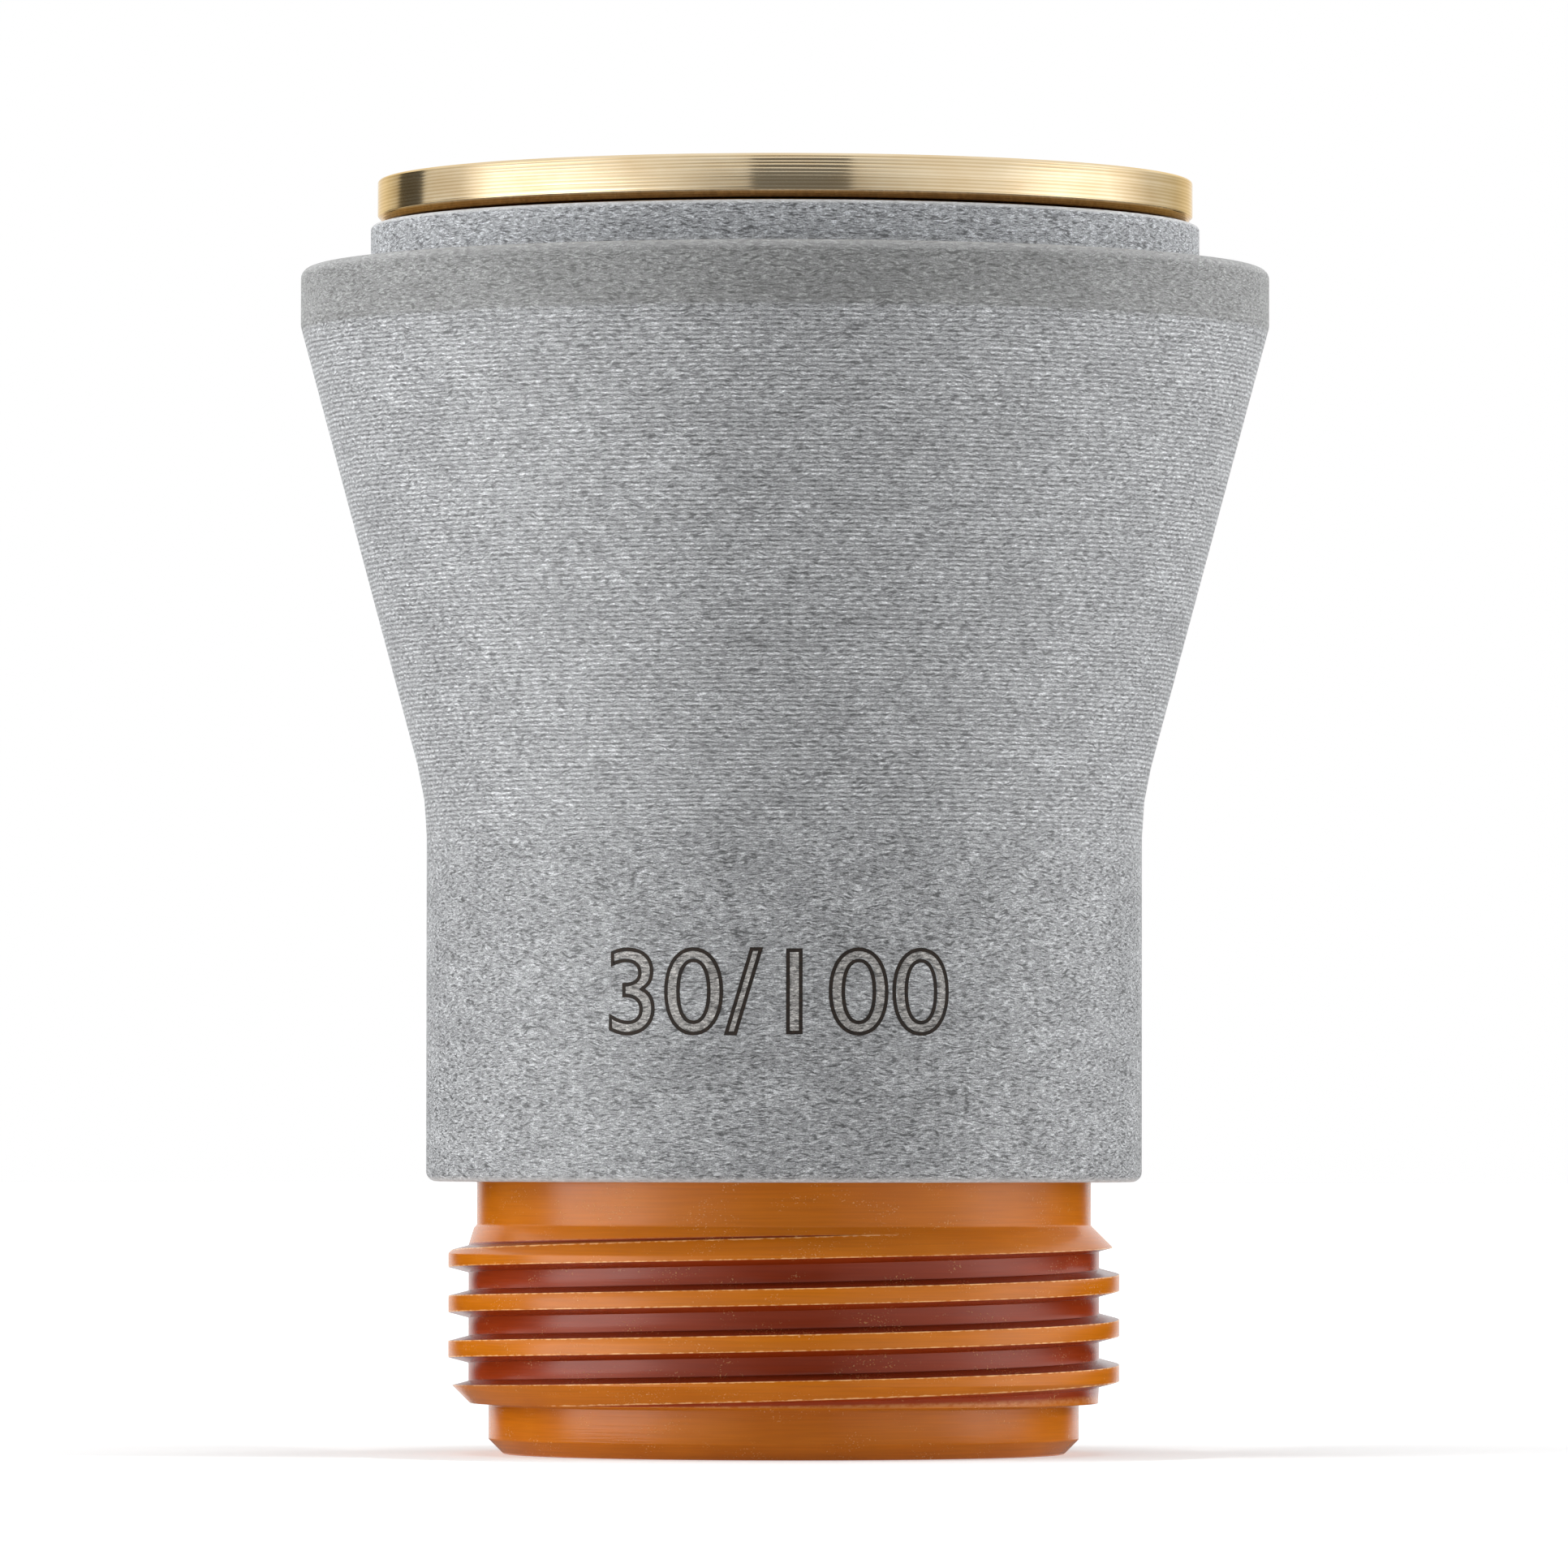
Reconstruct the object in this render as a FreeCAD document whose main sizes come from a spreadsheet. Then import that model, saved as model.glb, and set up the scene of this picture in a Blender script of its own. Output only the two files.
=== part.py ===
import FreeCAD, Part
import os
import Sketcher

# Retaining cap of a plasma cutting torch: a grey composite sleeve, a brass liner that takes the
# torch, and an orange insulator ring with the shield thread. The cap stands on the insulator's tip:
# the origin is the centre of the tip face and +Z runs along the axis to the torch end. Both threads
# are right-hand helical grooves with one start. Lengths are in millimetres and angles in degrees.

SIZES = [
    # Insulator ring, from the tip up.
    ("tip_length", "1.79", "plain spigot below the shield thread"),
    ("tip_chamfer", "0.53", "outer chamfer of the tip"),
    ("tip_step", "0.71", "tip spigot below the thread root, on the radius"),
    ("tip_wall", "1.9", "wall of the tip spigot round the nozzle's passage"),
    ("shield_thread_dia", "23.62", "major diameter of the shield thread"),
    ("shield_thread_depth", "0.71", "depth of the shield thread"),
    ("shield_thread_length", "6.26", "thread blank with both of its chamfers"),
    ("shield_pitch", "1.5875", "pitch of the shield thread"),
    ("shield_crest_width", "0.588", "flat crest of the shield thread"),
    ("shield_flank_angle", "14.5", "slope of each flank of the shield thread"),
    ("shield_run_in", "1.296", "first turn of the cutter below the blank"),
    ("shield_run_out", "0.4", "last turn of the cutter above the blank"),
    ("foot_chamfer", "0.76", "45 degree chamfer on the blank's lower edge"),
    ("neck_step", "0.29", "neck below the thread root, on the radius"),
    ("neck_length", "1.53", "visible neck between thread and shell"),
    ("socket_depth", "3.0", "neck inside the shell"),
    # Composite shell.
    ("shell_wall", "1.75", "wall of the narrow cylinder"),
    ("narrow_length", "13.42", "narrow cylinder, up to the corner of the cone"),
    ("cone_length", "16.68", "cone"),
    ("flange_width", "2.02", "height of the flange band"),
    ("flange_ledge", "2.46", "flange beyond the spigot, on the radius"),
    ("spigot_length", "1.52", "spigot above the flange"),
    ("spigot_wall", "1.02", "wall of the spigot"),
    ("flange_break", "0.33", "broken upper edge of the flange"),
    ("foot_break", "0.3", "broken lower edge of the shell"),
    # Brass liner.
    ("torch_thread_dia", "25.4", "major diameter of the torch thread"),
    ("torch_thread_depth", "0.86", "depth of the torch thread"),
    ("torch_thread_length", "5.0", "torch thread between its lead-in and its relief"),
    ("torch_pitch", "2.117", "pitch of the torch thread"),
    ("torch_flank_angle", "30", "slope of each flank of the torch thread"),
    ("mouth_depth", "2.9", "plain mouth above the thread's lead-in"),
    ("mouth_gap", "0.25", "mouth outside the thread's major diameter, on the radius"),
    ("relief_width", "1.5", "relief below the torch thread"),
    ("relief_gap", "0.1", "relief outside the thread's major diameter, on the radius"),
    ("liner_wall", "0.75", "wall of the liner beside and below the relief and beside the main bore"),
    ("seat_height", "2.2", "flat nozzle seat above the liner's foot"),
    ("collar_thickness", "1.6", "brass collar"),
    ("collar_setback", "0.24", "collar inside the spigot's edge, on the radius"),
    ("collar_chamfer", "0.35", "chamfer under the collar"),
    # Clearances.
    ("fit_gap", "0.04", "gap of each bonded or pressed fit, on the radius"),
    ("end_gap", "0.15", "gap under the wide barrel"),
]

DERIVED = [
    # Radii of the insulator ring, worked inwards from its thread.
    ("crest_r", "=Sizes.shield_thread_dia / 2"),
    ("root_r", "=crest_r - Sizes.shield_thread_depth"),
    ("neck_r", "=root_r - Sizes.neck_step"),
    ("tip_r", "=root_r - Sizes.tip_step"),
    ("nozzle_r", "=tip_r - Sizes.tip_wall"),
    # Radii of the narrow end, worked outwards from the neck.
    ("shell_bore_r", "=neck_r + Sizes.fit_gap"),
    ("narrow_r", "=shell_bore_r + Sizes.shell_wall"),
    ("barrel_r", "=shell_bore_r - Sizes.fit_gap"),
    ("main_bore_r", "=barrel_r - Sizes.liner_wall"),
    # Radii of the wide end, worked outwards from the torch thread.
    ("major_r", "=Sizes.torch_thread_dia / 2"),
    ("minor_r", "=major_r - Sizes.torch_thread_depth"),
    ("mouth_r", "=major_r + Sizes.mouth_gap"),
    ("relief_r", "=major_r + Sizes.relief_gap"),
    ("wide_barrel_r", "=relief_r + Sizes.liner_wall"),
    ("wide_bore_r", "=wide_barrel_r + Sizes.fit_gap"),
    ("spigot_r", "=wide_bore_r + Sizes.spigot_wall"),
    ("flange_r", "=spigot_r + Sizes.flange_ledge"),
    ("collar_r", "=spigot_r - Sizes.collar_setback"),
    # Heights above the tip face.
    ("thread_foot", "=Sizes.tip_length"),
    ("thread_top", "=thread_foot + Sizes.shield_thread_length"),
    ("shell_foot", "=thread_top + Sizes.neck_length"),
    ("shoulder", "=shell_foot + Sizes.socket_depth"),
    ("seat", "=shoulder + Sizes.seat_height"),
    ("cone_foot", "=shell_foot + Sizes.narrow_length"),
    ("flange_foot", "=cone_foot + Sizes.cone_length"),
    ("flange_top", "=flange_foot + Sizes.flange_width"),
    ("spigot_top", "=flange_top + Sizes.spigot_length"),
    ("rim", "=spigot_top + Sizes.collar_thickness"),
    ("mouth_foot", "=rim - Sizes.mouth_depth"),
    ("torch_thread_top", "=mouth_foot - mouth_r + minor_r"),
    ("torch_thread_foot", "=torch_thread_top - Sizes.torch_thread_length"),
    ("relief_foot", "=torch_thread_foot - Sizes.relief_width"),
    ("wide_barrel_foot", "=relief_foot - Sizes.liner_wall"),
    ("counterbore_foot", "=wide_barrel_foot - Sizes.end_gap"),
]

# How far each thread's cutter reaches past its blank.
CUTTER_OVERLAP = 0.2


def add_sizes(doc):
    """The sheet of driving dimensions: plain numbers with word aliases."""
    sheet = doc.addObject("Spreadsheet::Sheet", "Sizes")
    for row, (alias, value, note) in enumerate(SIZES, start=1):
        sheet.set(f"A{row}", note)
        sheet.set(f"B{row}", value)
        sheet.setAlias(f"B{row}", alias)
    doc.recompute()


def add_derived(doc):
    """The sheet of radii and heights that follow from the driving dimensions."""
    sheet = doc.addObject("Spreadsheet::Sheet", "Levels")
    for row, (alias, _) in enumerate(DERIVED, start=1):
        sheet.setAlias(f"B{row}", alias)
    for row, (_, formula) in enumerate(DERIVED, start=1):
        sheet.set(f"B{row}", formula)
    doc.recompute()


def add_body(doc, label):
    """An empty body at the cap's own origin."""
    body = doc.addObject("PartDesign::Body", label)
    body.Label = label
    body.Placement = FreeCAD.Placement()
    return body


def profile(body, name, corners):
    """Closed half section on the body's XZ plane. A corner is its radius and its height."""
    plane = next(item for item in body.Origin.OriginFeatures if item.Role == "XZ_Plane")
    sketch = body.newObject("Sketcher::SketchObject", name)
    sketch.AttachmentSupport = [(plane, "")]
    sketch.MapMode = "FlatFace"
    places = [FreeCAD.Vector(value(body, r), value(body, z), 0) for r, z in corners]
    count = len(corners)
    for index, place in enumerate(places):
        sketch.addGeometry(Part.LineSegment(place, places[(index + 1) % count]))
    for index in range(count):
        sketch.addConstraint(Sketcher.Constraint("Coincident", index, 2, (index + 1) % count, 1))
    for index, ((radius, height), place) in enumerate(zip(corners, places)):
        pin_corner(sketch, "DistanceX", index, place.x, radius)
        pin_corner(sketch, "DistanceY", index, place.y, height)
    return sketch


def value(body, expression):
    """Number that an expression of sheet aliases gives."""
    return float(body.evalExpression(expression))


def pin_corner(sketch, kind, index, distance, expression):
    """Bind a corner's distance from the origin, along one axis, to its expression."""
    place = sketch.addConstraint(Sketcher.Constraint(kind, -1, 1, index, 1, distance))
    sketch.setExpression(f"Constraints[{place}]", expression)


def turn(body, name, corners):
    """Solid of revolution about the body's Z axis."""
    sketch = profile(body, f"{name}Section", corners)
    turned = body.newObject("PartDesign::Revolution", name)
    turned.Profile = sketch
    turned.ReferenceAxis = (sketch, ["V_Axis"])
    turned.Angle = 360
    body.Document.recompute()


def bore_out(body, name, corners):
    """Hollow turned out of the body about its Z axis."""
    before = body.Shape.Volume
    sketch = profile(body, f"{name}Section", corners)
    bore = body.newObject("PartDesign::Groove", name)
    bore.Profile = sketch
    bore.ReferenceAxis = (sketch, ["V_Axis"])
    bore.Angle = 360
    body.Document.recompute()
    check_cut(body, name, before)


def cut_thread(body, name, corners, pitch, height):
    """Right-hand helical groove whose section starts on the +X side."""
    before = body.Shape.Volume
    sketch = profile(body, f"{name}Section", corners)
    thread = body.newObject("PartDesign::SubtractiveHelix", name)
    thread.Profile = sketch
    thread.ReferenceAxis = (sketch, ["V_Axis"])
    thread.Mode = "pitch-height-angle"
    thread.setExpression("Pitch", pitch)
    thread.setExpression("Height", height)
    thread.Angle = 0
    thread.LeftHanded = False
    thread.Reversed = False
    body.Document.recompute()
    check_cut(body, name, before)


def check_cut(body, name, before):
    """Stop if a cut took nothing away."""
    if not body.Shape.Volume < before:
        raise RuntimeError(f"{body.Label}: {name} cuts nothing")


def make_shell(doc):
    """Composite sleeve: narrow cylinder, cone, flange band and spigot, with a counterbored hole."""
    body = add_body(doc, "outer_shell")
    turn(body, "ShellBlank", [
        ("0", "Levels.shell_foot"),
        ("Levels.narrow_r - Sizes.foot_break", "Levels.shell_foot"),
        ("Levels.narrow_r", "Levels.shell_foot + Sizes.foot_break"),
        ("Levels.narrow_r", "Levels.cone_foot"),
        ("Levels.flange_r", "Levels.flange_foot"),
        ("Levels.flange_r", "Levels.flange_top - Sizes.flange_break"),
        ("Levels.flange_r - Sizes.flange_break", "Levels.flange_top"),
        ("Levels.spigot_r", "Levels.flange_top"),
        ("Levels.spigot_r", "Levels.spigot_top"),
        ("0", "Levels.spigot_top"),
    ])
    bore_out(body, "ShellBore", [
        ("0", "Levels.shell_foot"),
        ("Levels.shell_bore_r", "Levels.shell_foot"),
        ("Levels.shell_bore_r", "Levels.counterbore_foot"),
        ("Levels.wide_bore_r", "Levels.counterbore_foot"),
        ("Levels.wide_bore_r", "Levels.spigot_top"),
        ("0", "Levels.spigot_top"),
    ])
    return body


def make_liner(doc):
    """Brass liner: collar, wide barrel with the torch thread in it, and main barrel with the seat."""
    body = add_body(doc, "threaded_liner")
    turn(body, "LinerBlank", [
        ("0", "Levels.shoulder"),
        ("Levels.barrel_r", "Levels.shoulder"),
        ("Levels.barrel_r", "Levels.wide_barrel_foot"),
        ("Levels.wide_barrel_r", "Levels.wide_barrel_foot"),
        ("Levels.wide_barrel_r", "Levels.spigot_top"),
        ("Levels.collar_r - Sizes.collar_chamfer", "Levels.spigot_top"),
        ("Levels.collar_r", "Levels.spigot_top + Sizes.collar_chamfer"),
        ("Levels.collar_r", "Levels.rim"),
        ("0", "Levels.rim"),
    ])
    bore_out(body, "LinerBore", [
        ("0", "Levels.shoulder"),
        ("Levels.nozzle_r", "Levels.shoulder"),
        ("Levels.nozzle_r", "Levels.seat"),
        ("Levels.main_bore_r", "Levels.seat"),
        ("Levels.main_bore_r", "Levels.relief_foot"),
        ("Levels.relief_r", "Levels.relief_foot"),
        ("Levels.relief_r", "Levels.torch_thread_foot"),
        ("Levels.minor_r", "Levels.torch_thread_foot"),
        ("Levels.minor_r", "Levels.torch_thread_top"),
        ("Levels.mouth_r", "Levels.mouth_foot"),
        ("Levels.mouth_r", "Levels.rim"),
        ("0", "Levels.rim"),
    ])
    cut_torch_thread(body)
    return body


def make_insulator(doc):
    """Insulator ring: plain tip, thread blank with the shield thread, and neck."""
    body = add_body(doc, "shield_thread_insulator")
    turn(body, "InsulatorBlank", [
        ("0", "0"),
        ("Levels.tip_r - Sizes.tip_chamfer", "0"),
        ("Levels.tip_r", "Sizes.tip_chamfer"),
        ("Levels.tip_r", "Levels.thread_foot"),
        ("Levels.crest_r - Sizes.foot_chamfer", "Levels.thread_foot"),
        ("Levels.crest_r", "Levels.thread_foot + Sizes.foot_chamfer"),
        ("Levels.crest_r", "Levels.thread_top - Levels.crest_r + Levels.neck_r"),
        ("Levels.neck_r", "Levels.thread_top"),
        ("Levels.neck_r", "Levels.shoulder"),
        ("0", "Levels.shoulder"),
    ])
    bore_out(body, "InsulatorBore", [
        ("0", "0"),
        ("Levels.nozzle_r", "0"),
        ("Levels.nozzle_r", "Levels.shoulder"),
        ("0", "Levels.shoulder"),
    ])
    cut_shield_thread(body)
    return body


def cut_shield_thread(body):
    """External thread that runs in at the blank's foot and out through its upper cone."""
    first = "(Levels.thread_foot - Sizes.shield_run_in)"
    last = "(Levels.thread_top + Sizes.shield_run_out)"
    slope = "tan(Sizes.shield_flank_angle * 1 deg)"
    outer = f"(Levels.crest_r + {CUTTER_OVERLAP})"
    crest_half = "(Sizes.shield_pitch - Sizes.shield_crest_width) / 2"
    root_half = f"({crest_half} - Sizes.shield_thread_depth * {slope})"
    outer_half = f"({crest_half} + {CUTTER_OVERLAP} * {slope})"
    cut_thread(body, "ShieldThread", [
        ("Levels.root_r", f"{first} - {root_half}"),
        (outer, f"{first} - {outer_half}"),
        (outer, f"{first} + {outer_half}"),
        ("Levels.root_r", f"{first} + {root_half}"),
    ], "Sizes.shield_pitch", f"{last} - {first}")


def cut_torch_thread(body):
    """Internal thread, a sharp V that starts in the relief and runs out through the lead-in cone."""
    first = "(Levels.torch_thread_foot - Sizes.relief_width / 2)"
    inner = f"(Levels.minor_r - {CUTTER_OVERLAP})"
    inner_half = f"(Levels.major_r - {inner}) * tan(Sizes.torch_flank_angle * 1 deg)"
    cut_thread(body, "TorchThread", [
        (inner, f"{first} - {inner_half}"),
        ("Levels.major_r", first),
        (inner, f"{first} + {inner_half}"),
    ], "Sizes.torch_pitch", f"Levels.mouth_foot - {first}")


def check_document(doc):
    """Stop at any feature that failed."""
    for item in doc.Objects:
        if "Invalid" in item.State or "Error" in item.State:
            raise RuntimeError(f"{item.Name} is {item.State}")


def export(body):
    """Write one piece's solid, after checking it."""
    shape = body.Shape
    if shape.isNull() or not shape.isValid() or len(shape.Solids) != 1:
        raise RuntimeError(f"{body.Label} isn't one valid solid")
    shape.exportStep(os.path.join("parts", f"{body.Label}.step"))
    print(f"{body.Label}: {shape.Volume:.1f} mm3, {len(shape.Faces)} faces")


def main():
    os.makedirs("parts", exist_ok=True)
    doc = FreeCAD.newDocument("RetainingCap")
    add_sizes(doc)
    add_derived(doc)
    pieces = [make_shell(doc), make_liner(doc), make_insulator(doc)]
    doc.recompute()
    check_document(doc)
    for piece in pieces:
        export(piece)


main()
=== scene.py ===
import math

import bmesh
import bpy
import numpy as np
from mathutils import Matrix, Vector


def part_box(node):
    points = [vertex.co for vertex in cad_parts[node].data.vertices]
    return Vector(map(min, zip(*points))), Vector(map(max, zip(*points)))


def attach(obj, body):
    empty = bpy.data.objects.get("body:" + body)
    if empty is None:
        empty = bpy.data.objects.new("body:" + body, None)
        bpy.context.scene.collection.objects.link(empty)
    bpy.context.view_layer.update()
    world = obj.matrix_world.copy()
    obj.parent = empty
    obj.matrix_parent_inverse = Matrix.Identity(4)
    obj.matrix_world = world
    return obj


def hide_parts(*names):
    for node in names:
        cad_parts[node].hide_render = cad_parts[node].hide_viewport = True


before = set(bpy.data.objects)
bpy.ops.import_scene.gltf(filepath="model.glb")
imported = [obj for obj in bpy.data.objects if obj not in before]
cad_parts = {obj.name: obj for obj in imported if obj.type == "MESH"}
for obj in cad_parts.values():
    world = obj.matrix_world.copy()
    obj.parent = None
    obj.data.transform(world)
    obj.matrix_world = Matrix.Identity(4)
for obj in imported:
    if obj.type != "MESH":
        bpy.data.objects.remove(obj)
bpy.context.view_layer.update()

# Plasma torch retaining cap, tip down: composite shell, brass liner and insulator ring, each turned
# about the Z axis. Lengths here are in millimetres, and MM turns them into the scene's metres.
MM = 0.001


def reach(node):
    """Outer radius, foot and top of a CAD piece, in millimetres."""
    low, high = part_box(node)
    return high.x / MM, low.z / MM, high.z / MM


# Outer sizes that the CAD pieces give.
FLANGE_R, SHELL_FOOT, SPIGOT_TOP = reach("outer_shell")
COLLAR_R, LINER_FOOT, RIM = reach("threaded_liner")
CREST_R, TIP_FACE, SHOULDER = reach("shield_thread_insulator")

# Insulator ring.
TIP_LENGTH = 1.79
TIP_CHAMFER = 0.53
TIP_STEP = 0.71
TIP_WALL = 1.9
THREAD_LENGTH = 6.26
FOOT_CHAMFER = 0.76
NECK_STEP = 0.29
SHIELD_DEPTH = 0.71
SHIELD_ROOT_R = CREST_R - SHIELD_DEPTH
SHIELD_RUN_IN = 1.296
TIP_R = SHIELD_ROOT_R - TIP_STEP
NECK_R = SHIELD_ROOT_R - NECK_STEP
NOZZLE_R = TIP_R - TIP_WALL
FIT_GAP = 0.04
THREAD_TOP = TIP_LENGTH + THREAD_LENGTH
THREAD_CONE = THREAD_TOP - CREST_R + NECK_R

# Shell.
SHELL_WALL = 1.75
SHELL_BORE_R = NECK_R + FIT_GAP
NARROW_R = SHELL_BORE_R + SHELL_WALL
CONE_FOOT = SHELL_FOOT + 13.42
FLANGE_FOOT = CONE_FOOT + 16.68
FLANGE_TOP = FLANGE_FOOT + 2.02
SPIGOT_R = FLANGE_R - 2.46
WAIST_BLEND = 9.8

# Liner.
TORCH_MAJOR_R = 12.7
TORCH_MINOR_R = TORCH_MAJOR_R - 0.86
RELIEF_R = TORCH_MAJOR_R + 0.1
MOUTH_R = TORCH_MAJOR_R + 0.25
WIDE_BARREL_R = RELIEF_R + 0.75
WIDE_BORE_R = WIDE_BARREL_R + FIT_GAP
MAIN_BORE_R = NECK_R - 0.75
SEAT = LINER_FOOT + 2.2
MOUTH_FOOT = RIM - 2.9
TORCH_TOP = MOUTH_FOOT - MOUTH_R + TORCH_MINOR_R
TORCH_FOOT = TORCH_TOP - 5.0
RELIEF_WIDTH = 1.5
RELIEF_FOOT = TORCH_FOOT - RELIEF_WIDTH
WIDE_BARREL_FOOT = RELIEF_FOOT - 0.75
COUNTERBORE_FOOT = WIDE_BARREL_FOOT - 0.15
COLLAR_GAP = 0.12
COLLAR_CHAMFER = 0.24

# Threads: both are right-hand with one start.
SHIELD_THREAD = {
    "side": 1,
    "pitch": 1.5875,
    "root": SHIELD_ROOT_R,
    "root_half": 0.316,
    "flank": math.tan(math.radians(14.5)),
    "start": TIP_LENGTH - SHIELD_RUN_IN,
    "soft": 0.05,
}
TORCH_THREAD = {
    "side": -1,
    "pitch": 2.117,
    "root": TORCH_MAJOR_R,
    "root_half": 0.02,
    "flank": math.tan(math.radians(30)),
    "start": TORCH_FOOT - RELIEF_WIDTH / 2,
    "soft": 0.05,
}

# Mesh fineness: columns round each piece, the turn of a round between two rows, the rows across a
# thread's rounded edge in sizes of that round, and the rounds in which an edge on a slope is found.
# Points nearer than WELD are joined, and edges sharper than SHARP stay sharp.
COLUMNS = 480
ROUND_STEP = math.radians(15)
EDGE_ROWS = -1, -0.4, 0, 0.4, 1
EDGE_ROUNDS = 14
WELD = 0.0002
SHARP = math.radians(38)

# Rating numbers on the narrow cylinder: the angles of their ends from the front, their size, how much
# thinner than the font they are, and how wide their lines are. The lines stand proud of the shell by
# RATING_PROUD and reach into it by RATING_SUNK. The insides lie FILL_PROUD above it, cut into strips
# of the width STRIP. No side of a line is longer than CURVE_STEP.
RATING = "30/100"
RATING_ENDS = math.radians(-28.3), math.radians(26.4)
RATING_FOOT = 14.73
RATING_HEIGHT = 2.86
RATING_THIN = -0.012
RATING_LINE = 0.13
RATING_PROUD = 0.008
RATING_SUNK = 0.02
FILL_PROUD = 0.004
CURVE_STEP = 0.25
STRIP = 0.2

# Linear greys of the composite: the shell's mean, and the smoother flange, made darker as painted shade.
# The pitch of the turning lines on the cone, and of those on the brass.
SHELL_GREY = 0.268, 0.274, 0.281
FLANGE_SHADED_GREY = (0.215, 0.215, 0.210, 1)
TURNING_PITCH = 0.155
BRASS_PITCH = 0.12

# Studio, in metres and watts. The floor glows more the farther it is from the lamps, so that it is as
# white there, and its glow is given at distances from the cap. A lamp is its name, its place round
# the cap in degrees to the right of the front, its distance and height, its size and its power.
SKY = 0.28
FLOOR_HALF = 3.0
FLOOR_GLOW = [(0.0, 0.26), (0.25, 0.42), (0.5, 0.68), (1.3, 0.92)]
FLOOR_FILL = 0.18
LAMPS = [
    ("left_box", -78, 0.6, 0.2, (0.32, 0.6), 3.1),
    ("right_box", 84, 0.6, 0.2, (0.32, 0.6), 2.3),
    ("left_rim", -125, 0.6, 0.2, (0.2, 0.4), 1.3),
    ("right_rim", 125, 0.6, 0.2, (0.2, 0.4), 1.5),
    ("top_box", 0, 0.12, 0.75, (0.4, 0.4), 1.9),
]

# Screens round the cap, which reflections show instead of the lamps. A screen is its name, its section
# in metres from the axis and above the floor, and its brightness, the same all round or given at
# angles to the right of the front. The nearest one starts under the tip, and none reaches BRIGHTEST.
SCREEN_R = 0.15
SCREEN_STEP = 0.026
SCREEN_TOP = 0.075
SCREEN_FOOT = 0.0098
SCREEN_INNER = 0.016
SCREEN_LIFT = 0.00005
SCREEN_COLUMNS = 72
BRIGHTEST = 4.0
SCREENS = [
    ("low_screen", [(SCREEN_INNER, SCREEN_LIFT), (SCREEN_R, SCREEN_LIFT), (SCREEN_R, SCREEN_STEP)], [
        (-180, 1.0), (-160, 1.0), (-150, 0.0), (-112, 0.0), (-98, 0.4), (-86, 3.6), (-56, 3.8),
        (-40, 1.5), (-18, 0.45), (-9, 0.2), (17, 0.2), (20, 0.45), (42, 0.9), (60, 1.2), (80, 2.3),
        (98, 1.5), (115, 0.2), (125, 0.0), (150, 0.0), (160, 1.0),
    ]),
    ("high_screen", [(SCREEN_R, SCREEN_STEP), (SCREEN_R, SCREEN_TOP)], [
        (-180, 1.0), (-152, 0.95), (-137, 0.6), (-135, 0.1), (-120, 0.1), (-118, 0.75), (-100, 0.85),
        (-84, 1.9), (-60, 1.7), (-42, 1.09), (-20, 0.68), (-9.5, 0.62), (-9, 0.2), (17, 0.2),
        (17.5, 0.6), (40, 0.9), (60, 1.05), (80, 1.65), (100, 1.5), (120, 0.78), (140, 0.68),
        (160, 1.0),
    ]),
    # Painted shade: near_screen is a dim ring under the tip, standing in for the floor shaded by the cap
    # where the tip's chamfer reflects it.
    ("near_screen", [(SCREEN_FOOT, SCREEN_LIFT), (SCREEN_INNER, SCREEN_LIFT)], 0.2),
]

# Where the photograph's camera stands, in millimetres and degrees, and its lens in image widths.
CAMERA_DISTANCE = 473.5
CAMERA_HEIGHT = 11.0
CAMERA_PITCH = 1.523
CAMERA_ROLL = -0.07
LENS_IN_WIDTHS = 16556 / 1932


def eased(corners):
    """Points of an open section. A corner is (radius, height), or (radius, height, round)."""
    points = [Vector(corners[0][:2])]
    for before, corner, after in zip(corners, corners[1:], corners[2:]):
        at = Vector(corner[:2])
        if len(corner) == 2:
            points.append(at)
            continue
        points += round_off(Vector(before[:2]), at, Vector(after[:2]), corner[2])
    points.append(Vector(corners[-1][:2]))
    return points


def round_off(before, at, after, size):
    """Points of the arc that rounds one corner."""
    back = (before - at).normalized()
    on = (after - at).normalized()
    half = back.angle(on) / 2
    centre = at + (back + on).normalized() * size / math.sin(half)
    first = at + back * size / math.tan(half) - centre
    last = at + on * size / math.tan(half) - centre
    turn = first.angle_signed(last)
    steps = max(2, math.ceil(abs(turn) / ROUND_STEP))
    return [centre + turned(first, turn * step / steps) for step in range(steps + 1)]


def turned(arrow, angle):
    """A flat vector turned clockwise, as angle_signed counts it."""
    c, s = math.cos(angle), math.sin(angle)
    return Vector((arrow.x * c + arrow.y * s, arrow.y * c - arrow.x * s))


def ring_rows(points):
    """Rows of a turned wall: one ring of columns for each point of its section."""
    return [(np.full(COLUMNS, p[0]), np.full(COLUMNS, p[1])) for p in points]


def soft_min(a, b, size):
    """Smaller of two values, rounded off where they come within size of each other."""
    near = np.clip(size - np.abs(a - b), 0, None) / size
    return np.minimum(a, b) - near * near * size / 4


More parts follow.
